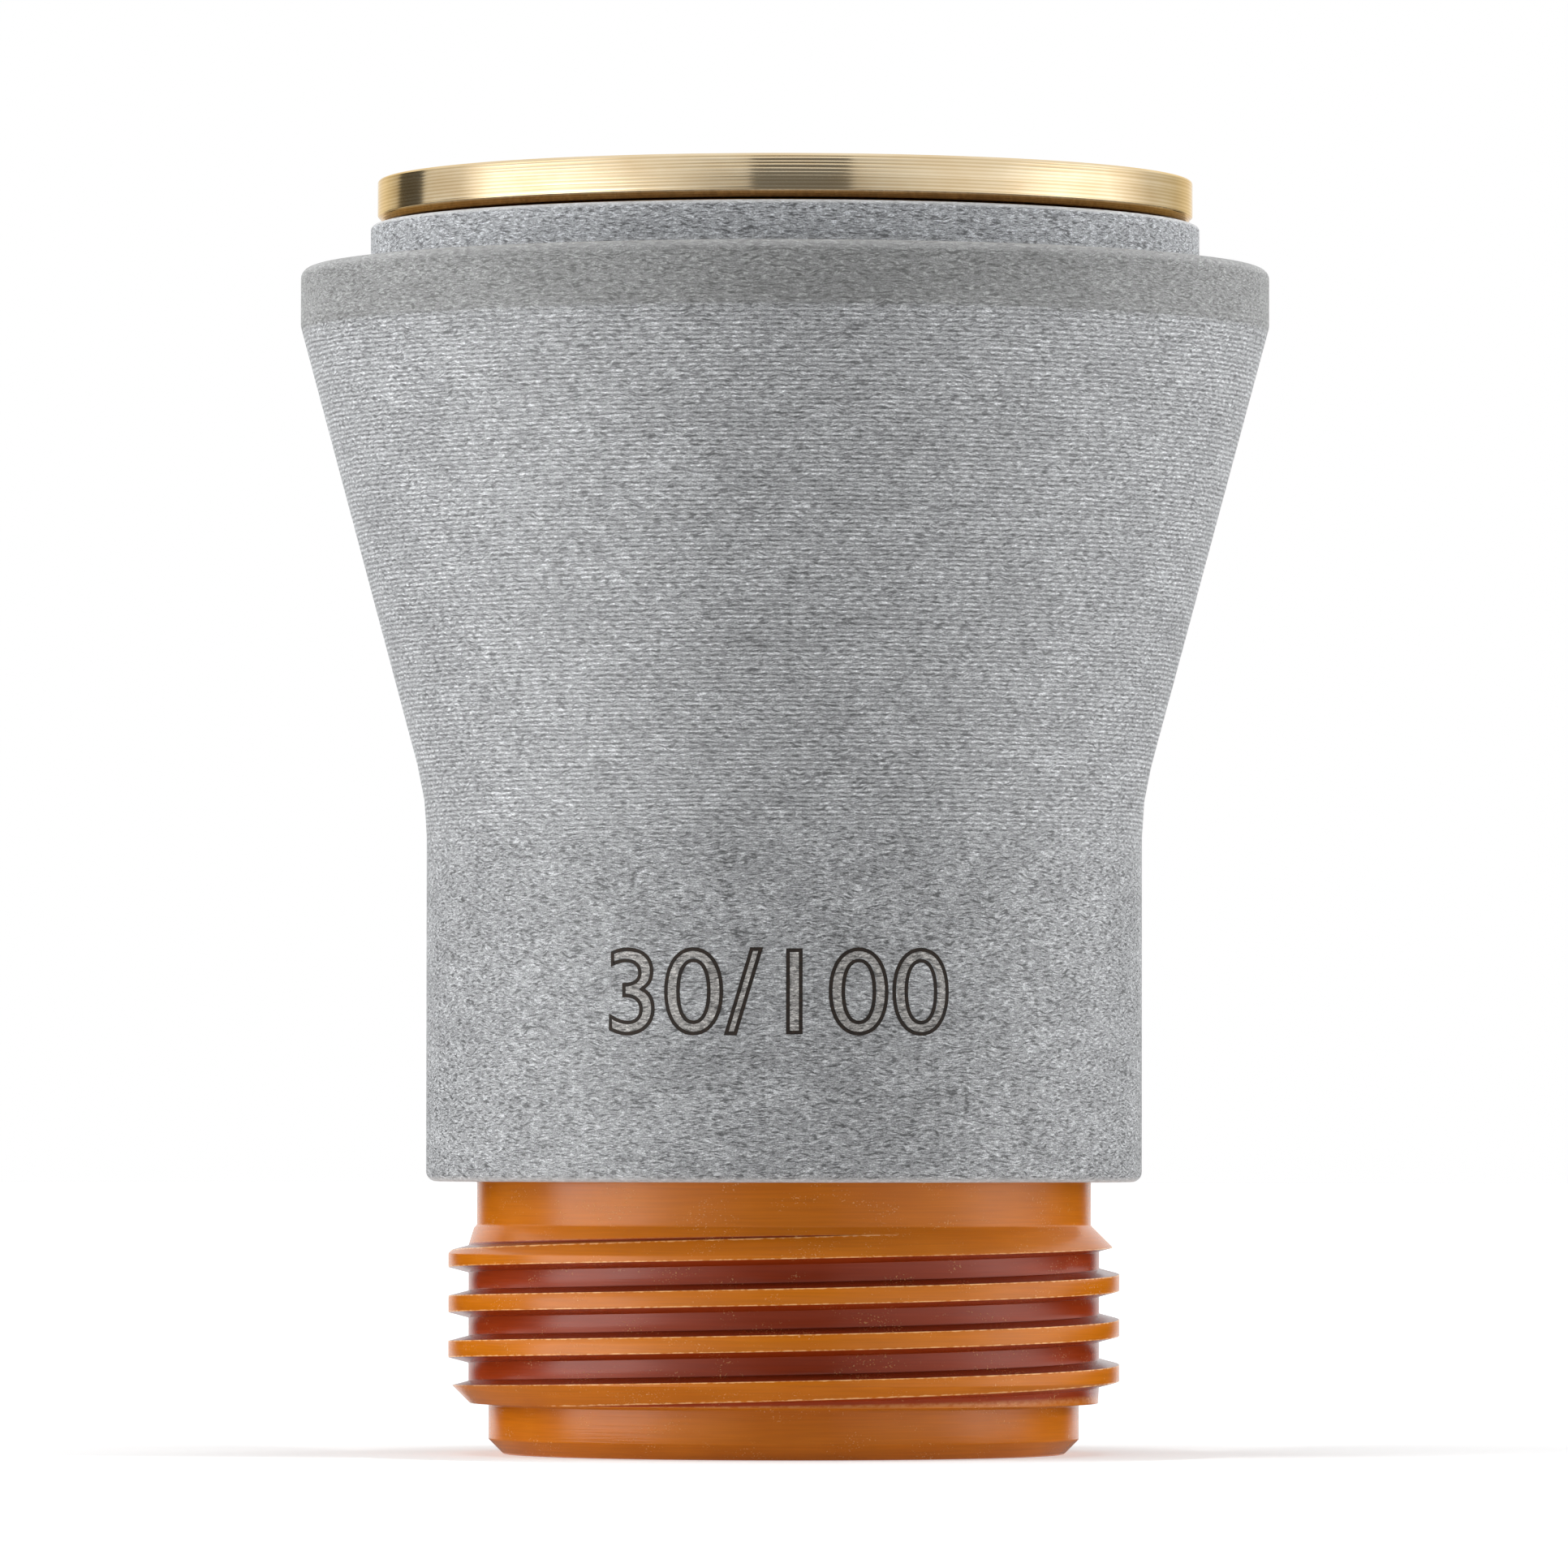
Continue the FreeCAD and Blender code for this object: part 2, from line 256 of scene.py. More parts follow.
def thread_rows(thread, wall):
    """Rows up a threaded wall, and how many rows one turn has. The wall is the blank's section, from
    the foot to the top of the thread. Every edge of every turn is a row, in order of height."""
    side, pitch, slope, soft = (thread[key] for key in ("side", "pitch", "flank", "soft"))
    heights = np.array([p[1] for p in wall])
    radii = np.array([p[0] for p in wall])
    foot, top = heights[0], heights[-1]
    root = side * thread["root"]
    turns = np.arange(COLUMNS) / COLUMNS + 0.25
    first = math.floor((foot - thread["start"]) / pitch) - 3
    last = math.ceil((top - thread["start"]) / pitch) + 3

    def blank(z):
        return side * np.interp(z, heights, radii)

    def surface(z):
        away = np.abs(np.mod((z - thread["start"]) / pitch - turns + 0.5, 1) - 0.5) * pitch
        rise = (away - thread["root_half"]) / slope
        groove = root - soft_min(-rise, np.zeros_like(rise), soft)
        return side * soft_min(blank(z), groove, soft)

    edges = []
    for turn in range(first, last + 1):
        middle = thread["start"] + pitch * (turns + turn)
        for way in (-1, 1):
            half = np.full(COLUMNS, thread["root_half"])
            for _ in range(EDGE_ROUNDS):
                deep = np.clip(blank(middle + way * half) - root, 0, None)
                half = thread["root_half"] + slope * deep
            for corner in (np.full(COLUMNS, thread["root_half"]), half):
                edges += [middle + way * (corner + slope * soft * step) for step in EDGE_ROWS]
    a_turn = len(edges) // (last - first + 1)
    edges += [np.full(COLUMNS, height) for height in heights]
    order = np.sort(np.clip(np.array(edges), foot, top), axis=0)
    return [(surface(z), z) for z in order], a_turn


def turned_mesh(name, parts):
    """Closed mesh of a section that goes round, part by part. A part is its rows and the rows in one
    turn of its thread, or 0. At the seam a thread's rows meet those of the next turn."""
    rows = []
    following = []
    for part, a_turn in parts:
        begin = len(rows)
        end = begin + len(part) - 1
        following += [min(begin + index + a_turn, end) for index in range(len(part))]
        rows += part
    angles = (np.arange(COLUMNS) / COLUMNS + 0.25) * math.tau
    points = [
        np.stack([r * np.cos(angles), r * np.sin(angles), z], axis=1) * MM for r, z in rows
    ]
    faces = []
    for low in range(len(rows)):
        high = (low + 1) % len(rows)
        for column in range(COLUMNS - 1):
            faces.append((
                low * COLUMNS + column,
                low * COLUMNS + column + 1,
                high * COLUMNS + column + 1,
                high * COLUMNS + column,
            ))
        faces.append((
            low * COLUMNS + COLUMNS - 1,
            following[low] * COLUMNS,
            following[high] * COLUMNS,
            high * COLUMNS + COLUMNS - 1,
        ))
    mesh = bpy.data.meshes.new(name)
    mesh.from_pydata(np.concatenate(points).tolist(), [], faces)
    work = bmesh.new()
    work.from_mesh(mesh)
    bmesh.ops.remove_doubles(work, verts=work.verts, dist=WELD * MM)
    bmesh.ops.dissolve_degenerate(work, edges=work.edges, dist=WELD / 2 * MM)
    bmesh.ops.recalc_face_normals(work, faces=work.faces)
    work.to_mesh(mesh)
    work.free()
    mesh.shade_smooth()
    mesh.set_sharp_from_angle(angle=SHARP)
    return mesh


def add_piece(name, mesh, material, node=None):
    """Put a piece in the scene, riding on the cap's one body."""
    piece = bpy.data.objects.new(name, mesh)
    bpy.context.scene.collection.objects.link(piece)
    mesh.materials.clear()
    mesh.materials.append(material)
    normals = piece.modifiers.new("even_shading", "WEIGHTED_NORMAL")
    normals.keep_sharp = True
    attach(piece, "root")
    if node:
        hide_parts(node)
    return piece


def shell_mesh():
    """Composite shell, once round its section from half way up its narrow bore."""
    section = eased([
        (SHELL_BORE_R, (SHELL_FOOT + COUNTERBORE_FOOT) / 2),
        (SHELL_BORE_R, SHELL_FOOT, 0.08),
        (NARROW_R, SHELL_FOOT, 0.36),
        (NARROW_R, CONE_FOOT, WAIST_BLEND),
        (FLANGE_R, FLANGE_FOOT, 0.5),
        (FLANGE_R, FLANGE_TOP, 0.33),
        (SPIGOT_R, FLANGE_TOP, 0.06),
        (SPIGOT_R, SPIGOT_TOP, 0.14),
        (WIDE_BORE_R, SPIGOT_TOP, 0.06),
        (WIDE_BORE_R, COUNTERBORE_FOOT, 0.05),
        (SHELL_BORE_R, COUNTERBORE_FOOT, 0.05),
        (SHELL_BORE_R, COUNTERBORE_FOOT - 1),
    ])
    return turned_mesh("composite_shell", [(ring_rows(section), 0)])


def liner_mesh():
    """Brass liner, once round its section from the foot of the torch thread."""
    wall = eased([
        (TORCH_MINOR_R, TORCH_FOOT),
        (TORCH_MINOR_R, TORCH_TOP, 0.1),
        (MOUTH_R, MOUTH_FOOT, 0.12),
        (MOUTH_R, MOUTH_FOOT + 0.3),
    ])
    threads, a_turn = thread_rows(TORCH_THREAD, wall)
    outside = eased([
        (MOUTH_R, MOUTH_FOOT + 0.5),
        (MOUTH_R, RIM, 0.15),
        (COLLAR_R, RIM, 0.1),
        (COLLAR_R, SPIGOT_TOP + COLLAR_GAP + COLLAR_CHAMFER, 0.05),
        (COLLAR_R - COLLAR_CHAMFER, SPIGOT_TOP + COLLAR_GAP, 0.05),
        (WIDE_BARREL_R, SPIGOT_TOP + COLLAR_GAP, 0.05),
        (WIDE_BARREL_R, WIDE_BARREL_FOOT, 0.1),
        (NECK_R, WIDE_BARREL_FOOT, 0.05),
        (NECK_R, LINER_FOOT, 0.05),
        (NOZZLE_R, LINER_FOOT, 0.05),
        (NOZZLE_R, SEAT, 0.12),
        (MAIN_BORE_R, SEAT, 0.15),
        (MAIN_BORE_R, RELIEF_FOOT, 0.1),
        (RELIEF_R, RELIEF_FOOT, 0.15),
        (RELIEF_R, TORCH_FOOT, 0.05),
        (TORCH_MAJOR_R + 0.02, TORCH_FOOT),
    ])
    return turned_mesh("brass_liner", [(threads, a_turn), (ring_rows(outside), 0)])


def insulator_mesh():
    """Insulator ring, once round its section from the foot of the shield thread."""
    wall = eased([
        (TIP_R + 0.1, TIP_LENGTH),
        (CREST_R - FOOT_CHAMFER, TIP_LENGTH, 0.05),
        (CREST_R, TIP_LENGTH + FOOT_CHAMFER, 0.05),
        (CREST_R, THREAD_CONE, 0.05),
        (NECK_R, THREAD_TOP, 0.12),
        (NECK_R, THREAD_TOP + 0.2),
    ])[1:]
    threads, a_turn = thread_rows(SHIELD_THREAD, wall)
    inside = eased([
        (NECK_R, THREAD_TOP + 0.4),
        (NECK_R, SHOULDER, 0.05),
        (NOZZLE_R, SHOULDER, 0.05),
        (NOZZLE_R, TIP_FACE, 0.12),
        (TIP_R - TIP_CHAMFER, TIP_FACE, 0.08),
        (TIP_R, TIP_CHAMFER, 0.08),
        (TIP_R, TIP_LENGTH, 0.1),
        (CREST_R - FOOT_CHAMFER - 0.1, TIP_LENGTH),
    ])
    return turned_mesh("insulator_ring", [(threads, a_turn), (ring_rows(inside), 0)])


def rating_text(fill):
    """Mesh of the rating numbers as flat text, stretched to its place: along the shell and up it."""
    text = bpy.data.curves.new("rating_text", "FONT")
    text.body = RATING
    text.fill_mode = fill
    text.offset = RATING_THIN
    shape = bpy.data.objects.new("rating_text", text)
    bpy.context.scene.collection.objects.link(shape)
    flat = bmesh.new()
    flat.from_mesh(shape.to_mesh())
    bpy.data.objects.remove(shape)
    left, right = (angle * NARROW_R for angle in RATING_ENDS)
    low = min(v.co.x for v in flat.verts)
    wide = (right - left) / (max(v.co.x for v in flat.verts) - low)
    tall = RATING_HEIGHT / max(v.co.y for v in flat.verts)
    for vert in flat.verts:
        vert.co = left + (vert.co.x - low) * wide, RATING_FOOT + vert.co.y * tall, 0
    return flat


def chains(flat):
    """Closed chains of a mesh of bare edges, as arrays of flat points."""
    free = set(flat.verts)
    for start in flat.verts:
        if start not in free:
            continue
        vert, edge = start, start.link_edges[0]
        chain = []
        while vert in free:
            free.discard(vert)
            chain.append(vert.co.xy)
            edge = next(e for e in vert.link_edges if e is not edge)
            vert = edge.other_vert(vert)
        yield chain


def refined(chain, step):
    """A closed chain with its long sides cut into short ones."""
    points = []
    for here, there in zip(chain, chain[1:] + chain[:1]):
        parts = max(1, math.ceil((there - here).length / step))
        points += [here.lerp(there, part / parts) for part in range(parts)]
    return points


def on_shell(along, height, lift):
    """Point on the narrow cylinder, along it from the front and lifted off it."""
    angle = along / NARROW_R
    r = NARROW_R + lift
    return Vector((r * math.sin(angle), -r * math.cos(angle), height)) * MM


def rating_lines():
    """Outlines of the rating numbers: flat ribbons wrapped round the shell, a little proud of it."""
    flat = rating_text("NONE")
    lines = bmesh.new()
    for chain in chains(flat):
        points = refined(chain, CURVE_STEP)
        rings = []
        for before, here, after in zip(points[-1:] + points, points, points[1:] + points[:1]):
            back = (here - before).normalized()
            on = (after - here).normalized()
            across = Vector((-back.y - on.y, back.x + on.x)) / max(0.6, 1 + back.dot(on))
            sides = [here - across * RATING_LINE / 2, here + across * RATING_LINE / 2]
            low, high = -RATING_SUNK, RATING_PROUD
            corners = [(sides[0], low), (sides[0], high), (sides[1], high), (sides[1], low)]
            rings.append([lines.verts.new(on_shell(*side, lift)) for side, lift in corners])
        for ring, other in zip(rings, rings[1:] + rings[:1]):
            for corner in range(4):
                near = (corner + 1) % 4
                lines.faces.new((ring[corner], other[corner], other[near], ring[near]))
    return finished("rating_lines", lines)


def rating_fill():
    """Insides of the rating numbers, cut into strips that follow the shell."""
    flat = rating_text("FRONT")
    left, right = (angle * NARROW_R for angle in RATING_ENDS)
    for place in np.arange(left, right, STRIP):
        everything = flat.verts[:] + flat.edges[:] + flat.faces[:]
        bmesh.ops.bisect_plane(flat, geom=everything, plane_co=(place, 0, 0), plane_no=(1, 0, 0))
    for vert in flat.verts:
        vert.co = on_shell(vert.co.x, vert.co.y, FILL_PROUD)
    return finished("rating_fill", flat)


def finished(name, work):
    """Mesh of a bmesh, with its normals outwards."""
    bmesh.ops.recalc_face_normals(work, faces=work.faces)
    mesh = bpy.data.meshes.new(name)
    work.to_mesh(mesh)
    work.free()
    return mesh


class Looks:
    """One procedural material in the making, and short ways to add its nodes."""

    def __init__(self, name):
        self.material = bpy.data.materials.new(name)
        self.material.use_nodes = True
        self.tree = self.material.node_tree
        self.shader = self.tree.nodes["Principled BSDF"]
        self.place = self.add("ShaderNodeTexCoord").outputs["Object"]
        self.x, self.y, self.z = self.add("ShaderNodeSeparateXYZ", {0: self.place}).outputs
        flat = self.add("ShaderNodeVectorMath", {0: self.place, 1: (1, 1, 0)}, operation="MULTIPLY")
        across = self.add("ShaderNodeVectorMath", {0: flat.outputs[0]}, operation="LENGTH")
        self.r = across.outputs["Value"]

    def add(self, kind, inputs=None, **settings):
        """Add a node with its settings, and give its inputs numbers or links."""
        made = self.tree.nodes.new(kind)
        for name, value in settings.items():
            setattr(made, name, value)
        for key, value in (inputs or {}).items():
            if isinstance(value, bpy.types.NodeSocket):
                self.tree.links.new(value, made.inputs[key])
            else:
                made.inputs[key].default_value = value
        return made

    def sum(self, operation, a, b=0.0, c=0.0):
        """Arithmetic on one, two or three values."""
        return self.add("ShaderNodeMath", {0: a, 1: b, 2: c}, operation=operation).outputs[0]

    def cells(self, across, up, seed=0.0, waves=None):
        """Object coordinates in which one unit is so many millimetres across and up the axis."""
        place = self.place
        if waves:
            place = self.add("ShaderNodeVectorMath", {0: place, 1: waves}, operation="ADD").outputs[0]
        scale = (1 / (across * MM), 1 / (across * MM), 1 / (up * MM))
        inputs = {0: place, 1: scale, 2: (seed, seed, seed)}
        return self.add("ShaderNodeVectorMath", inputs, operation="MULTIPLY_ADD").outputs[0]

    def noise(self, cells, detail=3.0, roughness=0.55):
        """Noise from 0 to 1 with features of one unit."""
        inputs = {"Vector": cells, "Scale": 1.0, "Detail": detail, "Roughness": roughness}
        return self.add("ShaderNodeTexNoise", inputs).outputs["Fac"]

    def strands(self, along, across, seed):
        """Noise of short strands that lie round the axis and lean a little either way."""
        lean = self.noise(self.cells(1.3, 0.8, seed), 2.0)
        waves = self.add("ShaderNodeCombineXYZ", {2: self.sum("MULTIPLY", lean, 0.55 * MM)}).outputs[0]
        return self.noise(self.cells(along, across, seed + 1, waves), 2.0, 0.5)

    def ramp(self, value, *stops):
        """Colours or greys along a value. A stop is its place and its colour or grey."""
        made = self.add("ShaderNodeValToRGB", {0: value})
        elements = made.color_ramp.elements
        while len(elements) < len(stops):
            elements.new(0.5)
        for element, (place, colour) in zip(elements, stops):
            element.position = place
            element.color = (*colour, 1) if isinstance(colour, tuple) else (colour, colour, colour, 1)
        return made.outputs["Color"]

    def level(self, value, low, high, out_low=0.0, out_high=1.0):
        """Smooth step of a value between two limits, which may be in falling order."""
        inputs = {"Value": value, "From Min": low, "From Max": high}
        inputs |= {"To Min": out_low, "To Max": out_high}
        made = self.add("ShaderNodeMapRange", inputs, interpolation_type="SMOOTHSTEP")
        return made.outputs["Result"]

    def mix(self, factor, a, b, blend="MIX"):
        """Blend of two colours."""
        inputs = {0: factor, 6: a, 7: b}
        made = self.add("ShaderNodeMix", inputs, data_type="RGBA", blend_type=blend)
        return made.outputs[2]

    def bump(self, height, depth, strength=1.0, under=None):
        """Relief of so many millimetres, on top of another one."""
        inputs = {"Height": height, "Distance": depth * MM, "Strength": strength}
        if under:
            inputs["Normal"] = under
        return self.add("ShaderNodeBump", inputs).outputs["Normal"]

    def band(self, low, high, edge=0.15):
        """Mask of the heights between two limits in millimetres, 1 inside."""
        up = self.level(self.z, (low - edge) * MM, (low + edge) * MM)
        down = self.level(self.z, (high + edge) * MM, (high - edge) * MM)
        return self.sum("MULTIPLY", up, down)

    def thread_place(self, thread):
        """Distances along the axis, in millimetres: from the middle of the thread's groove, and from
        its flank, which is positive on the crest."""
        turn = self.sum("DIVIDE", self.sum("ARCTAN2", self.y, self.x), math.tau)
        height = self.sum("DIVIDE", self.z, thread["pitch"] * MM)
        lead = self.sum("SUBTRACT", height, thread["start"] / thread["pitch"] - 0.5)
        phase = self.sum("FRACT", self.sum("SUBTRACT", lead, turn))
        middle = self.sum("MULTIPLY", self.sum("SUBTRACT", phase, 0.5), thread["pitch"])
        side = self.sum("ABSOLUTE", middle)
        depth = self.sum("SUBTRACT", self.sum("DIVIDE", self.r, MM), thread["root"])
        flank = self.sum("MULTIPLY_ADD", depth, thread["flank"], thread["root_half"])
        return middle, self.sum("SUBTRACT", side, flank)

    def give(self, **inputs):
        """Set or link the shader's own sockets."""
        for key, value in inputs.items():
            socket = self.shader.inputs[key.replace("_", " ").title().replace("Ior", "IOR")]
            if isinstance(value, bpy.types.NodeSocket):
                self.tree.links.new(value, socket)
            else:
                socket.default_value = value


def shades(colour, share):
    """A colour made darker or lighter."""
    return tuple(part * share for part in colour)


def composite_looks(name, tint=None):
    """Grey short-fibre composite: chopped strands laid round the axis, turning lines on the cone, a
    smoother flange darkened with painted shade, and pale painted highlights along the edges."""
    looks = Looks(name)
    dark_strands = looks.strands(0.30, 0.056, 7.0)
    pale_strands = looks.strands(0.26, 0.052, 41.0)
    fine = looks.noise(looks.cells(0.06, 0.034, 11.0), 1.0, 0.6)
    clumps = looks.noise(looks.cells(2.6, 1.1, 17.0), 3.0, 0.5)
    cone = looks.band(CONE_FOOT - 1.5, FLANGE_FOOT + 0.1, 1.2)
    wall = looks.level(looks.r, (FLANGE_R - 1.2) * MM, (FLANGE_R - 0.4) * MM)
    # Painted shade: the flange's outer wall is made darker as well as smoother.
    flange_shade = looks.sum("MULTIPLY", looks.band(FLANGE_FOOT - 0.18, FLANGE_TOP + 0.1, 0.12), wall)
    shift = looks.sum("MULTIPLY", looks.noise(looks.cells(2.6, 0.5, 23.0), 3.0, 0.6), 6.5)
    turns = looks.sum("MULTIPLY_ADD", looks.z, math.tau / (TURNING_PITCH * MM), shift)
    lines = looks.sum("MULTIPLY_ADD", looks.sum("SINE", turns), 0.5, 0.5)
    tone = looks.ramp(clumps, (0.32, shades(SHELL_GREY, 0.88)), (0.68, shades(SHELL_GREY, 1.10)))
    tone = looks.mix(1.0, tone, looks.ramp(dark_strands, (0.36, 0.34), (0.50, 1.10)), "MULTIPLY")
    tone = looks.mix(1.0, tone, looks.ramp(pale_strands, (0.50, 1.0), (0.64, 1.85)), "MULTIPLY")
    tone = looks.mix(1.0, tone, looks.ramp(fine, (0.3, 0.58), (0.7, 1.42)), "MULTIPLY")
    even = looks.mix(0.2, tone, (*SHELL_GREY, 1))
    turned_tone = looks.ramp(lines, (0.0, 0.78), (1.0, 1.48))
    tone = looks.mix(cone, tone, looks.mix(1.0, even, turned_tone, "MULTIPLY"))
    spigot = looks.band(FLANGE_TOP + 0.1, SPIGOT_TOP + 1, 0.05)
    tone = looks.mix(spigot, tone, looks.mix(1.0, tone, (1.15, 1.16, 1.18, 1), "MULTIPLY"))
    # Painted shade on the flange: its tone darkened, then mixed towards a darker even grey.
    flange_shaded_tone = looks.mix(1.0, tone, (0.8, 0.8, 0.78, 1), "MULTIPLY")
    tone = looks.mix(flange_shade, tone, looks.mix(0.3, flange_shaded_tone, FLANGE_SHADED_GREY))
    if tint:
        tone = looks.mix(1.0, tone, (*tint, 1), "MULTIPLY")
    # Painted highlights: pale bands along the shell's foot, the spigot's top edge, and the flange's top
    # edge and shoulder.
    edge_highlight = looks.sum("MAXIMUM", looks.band(SHELL_FOOT - 1, SHELL_FOOT + 0.12, 0.08),
                     looks.band(SPIGOT_TOP - 0.12, SPIGOT_TOP + 0.1, 0.05))
    shoulder = looks.sum("MULTIPLY", looks.band(FLANGE_TOP - 0.25, FLANGE_TOP + 0.1, 0.15), wall)
    step = looks.band(FLANGE_TOP - 0.02, FLANGE_TOP + 0.2, 0.15)
    dust_and_highlight = looks.sum("MAXIMUM", shoulder, step)
    edge_highlight = looks.sum("MAXIMUM", edge_highlight, looks.sum("MULTIPLY", dust_and_highlight, 0.4))
    tone = looks.mix(looks.sum("MULTIPLY", edge_highlight, 0.6), tone, (0.62, 0.62, 0.62, 1))
    relief = looks.bump(dark_strands, 0.02)
    relief = looks.bump(pale_strands, 0.015, 1.0, relief)
    relief = looks.bump(looks.sum("MULTIPLY", lines, cone), 0.006, 1.0, relief)
    looks.give(base_color=tone, roughness=looks.level(fine, 0.3, 0.7, 0.44, 0.58), normal=relief)
    return looks.material


def brass_looks():
    """Turned brass: fine lines round the axis, with darker tarnish in patches, and painted shade on the
    collar's lower chamfer.
    """
    looks = Looks("turned_brass")
    walk = looks.sum("ADD", looks.z, looks.r)
    along = looks.add("ShaderNodeCombineXYZ", {
        0: looks.sum("DIVIDE", looks.x, 22 * MM),
        1: looks.sum("DIVIDE", looks.y, 22 * MM),
        2: looks.sum("DIVIDE", walk, 0.22 * MM),
    }).outputs[0]
    uneven = looks.noise(along, 2.0, 0.6)
    shift = looks.sum("MULTIPLY", uneven, 6.0)
    turns = looks.sum("MULTIPLY_ADD", walk, math.tau / (BRASS_PITCH * MM), shift)
    lines = looks.sum("MULTIPLY_ADD", looks.sum("SINE", turns), 0.28, uneven)
    patches = looks.noise(looks.cells(2.4, 1.2, 5.0), 3.0, 0.55)
    tones = (0.2, (0.66, 0.52, 0.32)), (0.5, (0.78, 0.64, 0.43)), (0.8, (0.86, 0.73, 0.52))
    colour = looks.ramp(lines, *tones)
    tarnish = looks.ramp(patches, (0.3, (0.92, 0.86, 0.78)), (0.65, (1.0, 1.0, 1.0)))
    colour = looks.mix(1.0, colour, tarnish, "MULTIPLY")
    # Painted shade: the collar's lower chamfer, and the liner below it, made darker and browner.
    chamfer_shade = looks.band(SPIGOT_TOP - 1, SPIGOT_TOP + COLLAR_GAP + COLLAR_CHAMFER - 0.04, 0.04)
    colour = looks.mix(chamfer_shade, colour, looks.mix(1.0, colour, (0.62, 0.42, 0.22, 1), "MULTIPLY"))
    relief = looks.bump(lines, 0.006)
    looks.give(base_color=colour, metallic=1.0, specular_tint=(0.95, 0.78, 0.50, 1), normal=relief,
               roughness=looks.level(patches, 0.3, 0.7, 0.13, 0.09))
    return looks.material


def polymer_looks():
    """Orange polymer: thread grooves painted darker and redder as shade, darkest on their lower flank,
    pale burred edges along the crests that are partly a painted highlight, faint turning lines, and
    specks of dust in patches."""
    looks = Looks("orange_polymer")
    clouds = looks.noise(looks.cells(3.0, 1.6, 9.0), 2.0, 0.5)
    colour = looks.ramp(clouds, (0.3, (0.500, 0.132, 0.002)), (0.7, (0.545, 0.153, 0.003)))
    lines = looks.noise(looks.cells(2.5, 0.06, 2.0), 1.0, 0.5)
    colour = looks.mix(1.0, colour, looks.ramp(lines, (0.3, 0.93), (0.7, 1.06)), "MULTIPLY")

    middle, past_flank = looks.thread_place(SHIELD_THREAD)
    threaded = looks.sum("MULTIPLY", looks.band(TIP_LENGTH - 0.05, THREAD_TOP, 0.05),
                         looks.level(looks.r, (SHIELD_ROOT_R - 0.04) * MM, (SHIELD_ROOT_R - 0.01) * MM))
    # Painted shade: the thread's grooves are made darker and redder.
    groove = looks.sum("MULTIPLY", looks.level(past_flank, 0.02, 0.0), threaded)
    colour = looks.mix(groove, colour, looks.mix(1.0, colour, (0.58, 0.25, 1.6, 1), "MULTIPLY"))
    root_half = SHIELD_THREAD["root_half"]
    # Painted shade: the groove's lower flank is made darker still.
    lower = looks.level(middle, -root_half + 0.05, -root_half - 0.01)
    flank = looks.sum("MULTIPLY", groove, lower)
    colour = looks.mix(flank, colour, looks.mix(1.0, colour, (0.48, 0.50, 1.1, 1), "MULTIPLY"))

    # Pale ragged crest edges: burrs, and partly a painted highlight.
    ragged = looks.noise(looks.cells(0.25, 0.12, 53.0), 2.0, 0.6)
    near_edge = looks.level(looks.sum("MULTIPLY_ADD", ragged, -0.07, past_flank), 0.012, -0.012)
    crest = looks.sum("SUBTRACT", 1.0, groove)
    edge = looks.sum("MULTIPLY", crest, looks.sum("MULTIPLY", near_edge, threaded))
    colour = looks.mix(looks.sum("MULTIPLY", edge, looks.level(ragged, 0.35, 0.6, 0.2, 0.75)), colour,
                       (0.92, 0.55, 0.24, 1))

    dust_and_highlight = looks.level(looks.noise(looks.cells(1.6, 0.7, 61.0), 2.0, 0.5), 0.52, 0.64)
    specks = looks.level(looks.noise(looks.cells(0.07, 0.055, 31.0), 0.0, 0.5), 0.68, 0.78)
    dust = looks.sum("MULTIPLY", specks, dust_and_highlight)
    colour = looks.mix(looks.sum("MULTIPLY", dust, 0.45), colour, (0.88, 0.50, 0.2, 1))
    relief = looks.bump(lines, 0.003)
    relief = looks.bump(dust, 0.006, 1.0, relief)
    looks.give(base_color=colour, normal=relief, roughness=looks.level(clouds, 0.3, 0.7, 0.19, 0.24),
               specular_ior_level=0.34)
    return looks.material


def marking_looks():
    """Dark brown marking, uneven where the fibres show through it."""
    looks = Looks("brown_marking")
    grain = looks.noise(looks.cells(0.16, 0.08, 13.0), 3.0, 0.65)
    colour = looks.ramp(grain, (0.35, (0.006, 0.004, 0.003)), (0.7, (0.03, 0.02, 0.014)))
    looks.give(base_color=colour, specular_ior_level=0.3,
               roughness=looks.level(grain, 0.3, 0.7, 0.6, 0.8),
               normal=looks.bump(grain, 0.01))
    return looks.material


def floor_looks():
    """Pale floor that shows white to the camera and in reflections, and keeps the cap's shadow. From
    below it shows nothing."""
    looks = Looks("pale_floor")
    looks.give(base_color=(0.8, 0.8, 0.8, 1), roughness=0.9)
    path = looks.add("ShaderNodeLightPath").outputs
    reflected = looks.sum("MAXIMUM", path["Is Glossy Ray"], path["Is Transmission Ray"])
    shown = looks.sum("MAXIMUM", path["Is Camera Ray"], reflected)
    edge = FLOOR_GLOW[-1][0]
    stops = [(r / edge, glow) for r, glow in FLOOR_GLOW]
    levels = looks.ramp(looks.sum("DIVIDE", looks.r, edge), *stops)
    extra = looks.sum("MULTIPLY", shown, looks.sum("SUBTRACT", levels, FLOOR_FILL))
    strength = looks.sum("ADD", extra, FLOOR_FILL)
    glow = looks.add("ShaderNodeEmission", {"Strength": strength}).outputs[0]
    lit = looks.add("ShaderNodeAddShader", {0: looks.shader.outputs[0], 1: glow}).outputs[0]
    clear = looks.add("ShaderNodeBsdfTransparent").outputs[0]
    below = looks.add("ShaderNodeNewGeometry").outputs["Backfacing"]
    under = looks.sum("MULTIPLY", below, path["Is Camera Ray"])
    both = looks.add("ShaderNodeMixShader", {0: under, 1: lit, 2: clear}).outputs[0]
    looks.tree.links.new(both, looks.tree.nodes["Material Output"].inputs["Surface"])
    return looks.material


